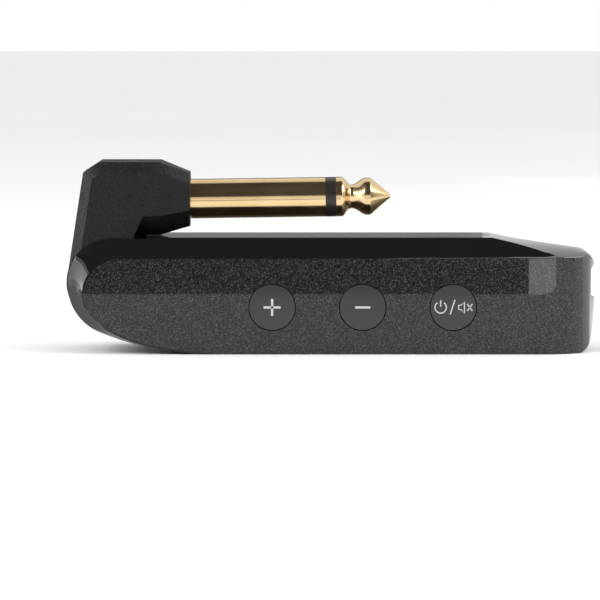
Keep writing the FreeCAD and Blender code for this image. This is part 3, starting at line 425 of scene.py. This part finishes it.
def refined(name, node, width=0.0, angle=30.0, inset=0.0, blend=32.0):
    """A node's refined copy. Width rounds its edges, and inset sets its front face back."""
    form = merged(node)
    front = min(vertex.co.y for vertex in form.verts)
    for vertex in form.verts:
        if inset and vertex.co.y < front + FRONT_DEPTH:
            vertex.co.y += inset
    mesh = bpy.data.meshes.new(name)
    form.to_mesh(mesh)
    form.free()
    piece = show(name, mesh, made[slot_of_node[node]])
    mesh.polygons.foreach_set("use_smooth", [True] * len(mesh.polygons))
    if width:
        bevel = piece.modifiers.new("Rounded edges", "BEVEL")
        bevel.width = width
        bevel.segments = 3
        bevel.limit_method = "ANGLE"
        bevel.angle_limit = math.radians(angle)
        settle(piece)
    even_normals(piece.data, blend)
    belongs(piece, node)
    print(name, len(piece.data.polygons), "faces")
    return piece


# %% Case, arm and keys
refined("cover", "top_cover")
refined("housing", "lower_housing")
ARM_EDGE, KEY_EDGE, FACE_INSET = 0.3 * MM, 0.12 * MM, 0.03 * MM
for side in ("near", "far"):
    refined(f"arm_{side}", f"{side}_arm_shell", ARM_EDGE, angle=38.0, blend=52.0)
for key in ("plus", "minus", "power"):
    refined(f"{key}_face", f"{key}_button", KEY_EDGE, angle=40.0, inset=FACE_INSET)

# %% [markdown]
# ## Printed symbols
#
# The three keys carry thin light grey prints: a plus, a minus, and a power ring with a muted
# speaker. Each is a raised ribbon a few hundredths of a millimetre thick on its key's face.

# %% Symbols on the keys
print_grey = finish("symbol_print", (0.42, 0.42, 0.41), (0.5, 0.5, 0.49), rough=(0.5, 0.62),
                    grain=9000.0, strength=0.1)
BOLD, FINE = 0.36 * MM, 0.2 * MM
PRINT_DEPTH, PRINT_SINK = 0.04 * MM, 0.005 * MM


def ribbon(form, centre, front, points, closed, width):
    """A raised line through points in a key's own X and Z, in millimetres."""
    line = [Vector((centre.x + x * MM, 0.0, centre.z + z * MM)) for x, z in points]
    count = len(line)
    sides = []
    for index in range(count):
        before = line[index - 1] if index or closed else line[index]
        after = line[(index + 1) % count] if closed or index < count - 1 else line[index]
        ahead = (after - before).normalized()
        reach = Vector((-ahead.z, 0.0, ahead.x)) * width / 2
        sides.append([
            [form.verts.new(line[index] + reach * side + Vector((0, y, 0)))
             for y in (front, front + PRINT_DEPTH)]
            for side in (1, -1)])
    spans = count if closed else count - 1
    for index in range(spans):
        (a, b), (c, d) = sides[index]
        (e, f), (g, h) = sides[(index + 1) % count]
        for face in ((a, e, g, c), (b, d, h, f), (a, b, f, e), (c, g, h, d)):
            form.faces.new(face)
    if not closed:
        for (a, b), (c, d) in (sides[0], sides[-1]):
            form.faces.new((a, c, d, b))


def arc(radius, start, end, steps, x=0.0, z=0.0):
    """Points on a circle, with angles in degrees from straight up."""
    turns = [math.radians(start + (end - start) * step / steps) for step in range(steps + 1)]
    return [(x + radius * math.sin(turn), z + radius * math.cos(turn)) for turn in turns]


SPEAKER = [(0.85, -0.35), (1.2, -0.35), (1.75, -0.95), (1.75, 0.95), (1.2, 0.35), (0.85, 0.35)]
SYMBOLS = {
    "plus": [([(-1.35, 0), (1.35, 0)], False), ([(0, -1.35), (0, 1.35)], False)],
    "minus": [([(-1.2, 0), (1.2, 0)], False)],
    "power": [
        (arc(0.9, 35, 325, 28, x=-2.0), False), ([(-2.0, 0.1), (-2.0, 1.15)], False),
        ([(-0.5, -1.1), (0.25, 1.2)], False), (SPEAKER, True),
        ([(2.2, -0.55), (3.0, 0.55)], False), ([(2.2, 0.55), (3.0, -0.55)], False)],
}
for key, lines in SYMBOLS.items():
    low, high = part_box(f"{key}_button")
    form = bmesh.new()
    width = FINE if key == "power" else BOLD
    for points, closed in lines:
        ribbon(form, middle(f"{key}_button"), low.y + PRINT_SINK, points, closed, width)
    bmesh.ops.recalc_face_normals(form, faces=form.faces)
    mesh = bpy.data.meshes.new(f"{key}_symbol")
    form.to_mesh(mesh)
    form.free()
    symbol = show(f"{key}_symbol", mesh, print_grey)
    belongs(symbol, f"{key}_button", stands_for=False)
    print(symbol.name, len(mesh.polygons), "faces")

# %% [markdown]
# ## Turned pieces
#
# The plug's tip, with the rod it stands on, and the badge are turned parts. Each is one smooth
# profile spun round its own axis. The sleeve and the insulator ring keep their CAD shapes.

# %% Spin a profile about an axis
def lathe(name, profile, origin, axis, material, steps=96):
    """A closed turned solid. The profile is (place, radius) pairs from one end to the other."""
    turn = axis.to_track_quat("Z", "Y").to_matrix()
    form = bmesh.new()
    rings = []
    for place, radius in profile:
        angles = [math.tau * spot / steps for spot in range(steps if radius > POINT_GAP else 1)]
        rings.append([form.verts.new(origin + turn @ Vector((
            radius * math.cos(angle), radius * math.sin(angle), place))) for angle in angles])
    for first, second in zip(rings, rings[1:]):
        for spot in range(steps):
            after = (spot + 1) % steps
            corners = [first[spot % len(first)], first[after % len(first)],
                       second[after % len(second)], second[spot % len(second)]]
            form.faces.new(list(dict.fromkeys(corners)))
    bmesh.ops.recalc_face_normals(form, faces=form.faces)
    mesh = bpy.data.meshes.new(name)
    form.to_mesh(mesh)
    form.free()
    mesh.polygons.foreach_set("use_smooth", [True] * len(mesh.polygons))
    mesh.set_sharp_from_angle(angle=math.radians(32))
    piece = show(name, mesh, material)
    print(name, len(mesh.polygons), "faces")
    return piece


# %% Plug tip with a curved waist
def eased(profile, steps=8):
    """Fill in a smooth curve between (place, radius) points."""
    filled = [profile[0]]
    for (start, low), (end, high) in zip(profile, profile[1:]):
        for step in range(1, steps + 1):
            share = step / steps
            blend = (1 - math.cos(math.pi * share)) / 2
            filled.append((start + (end - start) * share, low + (high - low) * blend))
    return filled


tip_low, tip_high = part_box("plug_tip")
tip_end = (tip_high.x - plug_point.x) / plug_axis.x
rod_end = (tip_low.x - plug_point.x) / plug_axis.x + 0.02 * MM
ROD, CHAMFER, TIP_LENGTH = 1.2 * MM, 0.06 * MM, 8.75 * MM
collar = tip_end - TIP_LENGTH
waist = eased([(collar + 0.9 * MM, plug_radius), (collar + 2.5 * MM, plug_radius * 0.6),
               (collar + 4.9 * MM, plug_radius * 0.94)])
tip_shape = [(rod_end, 0.0), (rod_end, ROD), (collar, ROD), (collar, plug_radius - CHAMFER),
             (collar + CHAMFER, plug_radius), (collar + 0.84 * MM, plug_radius), *waist,
             (collar + 5.5 * MM, plug_radius * 0.94), (collar + 5.8 * MM, plug_radius * 0.88),
             (tip_end - 0.3 * MM, 0.5 * MM), (tip_end - 0.06 * MM, 0.3 * MM),
             (tip_end - 0.02 * MM, 0.0)]
tip = lathe("tip", tip_shape, plug_point, plug_axis, made["plug_gold"])
belongs(tip, "plug_tip")

# %% Badge with two fine rings
badge_low, badge_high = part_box("badge_disc")
badge_radius = (badge_high.x - badge_low.x) / 2
badge_middle = Vector((middle("badge_disc").x, middle("badge_disc").y, 0.0))
top, step = badge_high.z, 0.05 * MM
rings = [(badge_low.z, 0.0), (badge_low.z, badge_radius), (top - step, badge_radius),
         (top, badge_radius - step)]
for share in (0.86, 0.58):
    at = badge_radius * share
    rings += [(top, at), (top - step, at - step), (top - step, at - 4 * step), (top, at - 5 * step)]
rings.append((top, 0.0))
badge = lathe("badge", rings, badge_middle, Vector((0, 0, 1)), made["badge_satin"])
belongs(badge, "badge_disc")

# %% [markdown]
# ## Small parts that repeat
#
# The screws' cross recesses, drawn as flat crosses in a near-black painted shade, and the contacts
# of the charging socket are one shape each, placed many times by Geometry Nodes. The places come
# from the CAD pieces.

# %% Place a small cross or bar at many points
def repeat_tree(name, material):
    tree = bpy.data.node_groups.new(name, "GeometryNodeTree")
    tree.interface.new_socket("Geometry", in_out="INPUT", socket_type="NodeSocketGeometry")
    for label in ("Size A", "Size B"):
        tree.interface.new_socket(label, in_out="INPUT", socket_type="NodeSocketVector")
    tree.interface.new_socket("Geometry", in_out="OUTPUT", socket_type="NodeSocketGeometry")
    given, result = tree.nodes.new("NodeGroupInput"), tree.nodes.new("NodeGroupOutput")
    bars = tree.nodes.new("GeometryNodeJoinGeometry")
    for label in ("Size A", "Size B"):
        bar = add(tree, "GeometryNodeMeshCube", {"Size": given.outputs[label]})
        tree.links.new(bar.outputs["Mesh"], bars.inputs["Geometry"])
    placed = add(tree, "GeometryNodeInstanceOnPoints",
                 {"Points": given.outputs["Geometry"], "Instance": bars.outputs["Geometry"]})
    real = add(tree, "GeometryNodeRealizeInstances", {"Geometry": placed.outputs["Instances"]})
    painted = add(tree, "GeometryNodeSetMaterial", {"Geometry": real.outputs["Geometry"]})
    painted.inputs["Material"].default_value = material
    tree.links.new(painted.outputs["Geometry"], result.inputs["Geometry"])
    return tree


def repeated(name, node, places, size_a, size_b, material):
    """A pair of crossed bars, of two sizes, at each place."""
    mesh = bpy.data.meshes.new(name)
    mesh.from_pydata(places, [], [])
    piece = show(name, mesh, material)
    spread_out = piece.modifiers.new("Repeat", "NODES")
    spread_out.node_group = repeat_tree(name + "_tree", material)
    bar_sizes = {"Size A": size_a, "Size B": size_b}
    for item in spread_out.node_group.interface.items_tree:
        if item.name in bar_sizes:
            spread_out[item.identifier] = bar_sizes[item.name]
    settle(piece)
    belongs(piece, node, stands_for=False)
    print(name, len(places), "places,", len(piece.data.polygons), "faces")


def islands(node):
    """The box of each loose part of a node, in the order of its points."""
    form = merged(node)
    left, boxes = set(form.verts), []
    for start in form.verts:
        if start not in left:
            continue
        left.remove(start)
        part, waiting = [], [start]
        while waiting:
            point = waiting.pop()
            part.append(point.co)
            near = {link.other_vert(point) for link in point.link_edges} & left
            left -= near
            waiting.extend(near)
        boxes.append([Vector([pick(axis) for axis in zip(*part)]) for pick in (min, max)])
    form.free()
    return boxes


# %% Painted shade for the screw recesses, and socket contacts
# The near-black colour of the screw crosses is painted shade. It stands in for the shade inside
# each screw's hollow cross, not for a dark part.
painted_recess_shade = finish("screw_recess", (0.004, 0.004, 0.004), (0.008, 0.008, 0.008), rough=(0.5, 0.7))
contact_gold = finish("contact_gold", (0.7, 0.5, 0.24), (0.85, 0.65, 0.36), rough=(0.14, 0.3),
                      Metallic=1.0, strength=0.08)
LONG, THIN, LIFT = 1.3 * MM, 0.3 * MM, 0.04 * MM
below = [((low.x + high.x) / 2, (low.y + high.y) / 2, low.z)
         for low, high in islands("housing_screws")]
repeated("case_screw_painted_shade", "housing_screws", below, (LONG, THIN, LIFT), (THIN, LONG, LIFT),
         painted_recess_shade)
aside = [((low.x + high.x) / 2, high.y, (low.z + high.z) / 2)
         for low, high in islands("arm_screws")]
repeated("arm_screw_recess", "arm_screws", aside, (LONG, LIFT, THIN), (THIN, LIFT, LONG), painted_recess_shade)
tongue_low, tongue_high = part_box("socket_tongue")
COUNT, PITCH, SETBACK = 12, 0.5 * MM, 1.8 * MM
contact_size = (3 * MM, 0.25 * MM, LIFT)
contacts = [(tongue_high.x - SETBACK, (number - (COUNT - 1) / 2) * PITCH, z)
            for z in (tongue_low.z, tongue_high.z) for number in range(COUNT)]
repeated("socket_contacts", "socket_tongue", contacts, contact_size, contact_size, contact_gold)

# %% [markdown]
# ## Studio
#
# A plain pale floor and backdrop, a white surround and two soft boxes. A gloss case shows mostly
# what it reflects, so dark and white cards stand outside the view, seen only in reflections.

# %% Floor, backdrop and reflection cards
def flat_card(name, centre, across, up, material, reflections_only=True):
    """A flat rectangle. Across and up run from its centre to two of its edges."""
    corners = [centre + across * a + up * b for a, b in ((-1, -1), (1, -1), (1, 1), (-1, 1))]
    mesh = bpy.data.meshes.new(name)
    mesh.from_pydata(corners, [], [(0, 1, 2, 3)])
    card = show(name, mesh, material)
    if reflections_only:
        card.visible_camera = card.visible_diffuse = card.visible_shadow = False
        card.visible_transmission = card.visible_volume_scatter = False
    return card


def glow(name, strength):
    material = bpy.data.materials.new(name)
    material.use_nodes = True
    tree = material.node_tree
    tree.nodes.clear()
    light = add(tree, "ShaderNodeEmission", {"Strength": strength})
    out = tree.nodes.new("ShaderNodeOutputMaterial")
    tree.links.new(light.outputs[0], out.inputs["Surface"])
    return material


pale = finish("studio_pale", (0.86, 0.86, 0.86), (0.9, 0.9, 0.9), rough=(0.7, 0.85), grain=900.0,
              strength=0.02, drift=6.0)
dark_card = glow("card_dark", 0.05)
bright = glow("backdrop_bright", 1.0)
SIDE, DEEP, UP = Vector((1, 0, 0)), Vector((0, 1, 0)), Vector((0, 0, 1))
flat_card("floor", Vector((0, 0, -0.00001)), SIDE * 3, DEEP * 3, pale, reflections_only=False)
flat_card("backdrop", Vector((0, 2.9, 1.5)), SIDE * 3, UP * 1.5, bright, reflections_only=False)
# Each row is a name, a centre, two half sizes as directions, and a material.
CARDS = [
    ("front_card", (-0.0093, -0.11, 0.0061), SIDE * 0.0458, UP * 0.0039, dark_card),
    ("spark_card", (0.0665, -0.11, 0.0061), SIDE * 0.03, UP * 0.0039, glow("card_spark", 3.6)),
    ("upper_card", (0.0, -0.3, 0.2135), SIDE * 0.2, UP * 0.1365, dark_card),
    ("ceiling_card", (-0.2, -0.11, 0.35), SIDE * 0.4, DEEP * 0.19, dark_card),
    ("right_card", (0.25, -0.09, 0.12), DEEP * 0.03, UP * 0.12, dark_card),
    ("left_card", (-0.5, 0.1, 0.12), DEEP * 0.4, UP * 0.12, glow("card_left", 2.2)),
    ("rear_left_card", (-0.25, 0.6, 0.2), SIDE * 0.3, UP * 0.2, glow("card_grey", 0.25)),
    ("rear_right_card", (0.45, 0.6, 0.2), SIDE * 0.4, UP * 0.2, glow("card_pale", 0.7)),
]
for name, centre, across, up, material in CARDS:
    flat_card(name, Vector(centre), across, up, material)
print("stage ready")

# %% Lights, world and camera
world = bpy.data.worlds.new("studio")
bpy.context.scene.world = world
world.use_nodes = True
world.node_tree.nodes["Background"].inputs["Color"].default_value = (1, 1, 1, 1)
world.node_tree.nodes["Background"].inputs["Strength"].default_value = 0.9


def soft_box(name, place, aim, size, watts):
    data = bpy.data.lights.new(name, "AREA")
    data.shape, data.size, data.energy = "SQUARE", size, watts
    light = bpy.data.objects.new(name, data)
    light.location = place
    light.rotation_euler = (aim - place).to_track_quat("-Z", "Y").to_euler()
    bpy.context.scene.collection.objects.link(light)


target = Vector((-5.0, 0.0, 7.85)) * MM
soft_box("left_box", Vector((-0.5, -0.35, 0.45)), target, 0.4, 3.0)
soft_box("right_box", Vector((0.5, -0.2, 0.45)), target, 0.4, 2.2)

ELEVATION, DISTANCE = math.radians(4.3), 0.68
SENSOR_MM, FOCAL_MM = 36.0, 254.6
lens = bpy.data.cameras.new("camera")
lens.sensor_width, lens.lens = SENSOR_MM, FOCAL_MM
lens.clip_start, lens.clip_end = 0.05, 20.0
camera = bpy.data.objects.new("camera", lens)
bpy.context.scene.collection.objects.link(camera)
camera.location = target + Vector((0, -math.cos(ELEVATION), math.sin(ELEVATION))) * DISTANCE
camera.rotation_euler = (target - camera.location).to_track_quat("-Z", "Y").to_euler()
bpy.context.scene.camera = camera
bpy.context.scene.view_settings.view_transform = "Standard"
print("lights and camera ready")
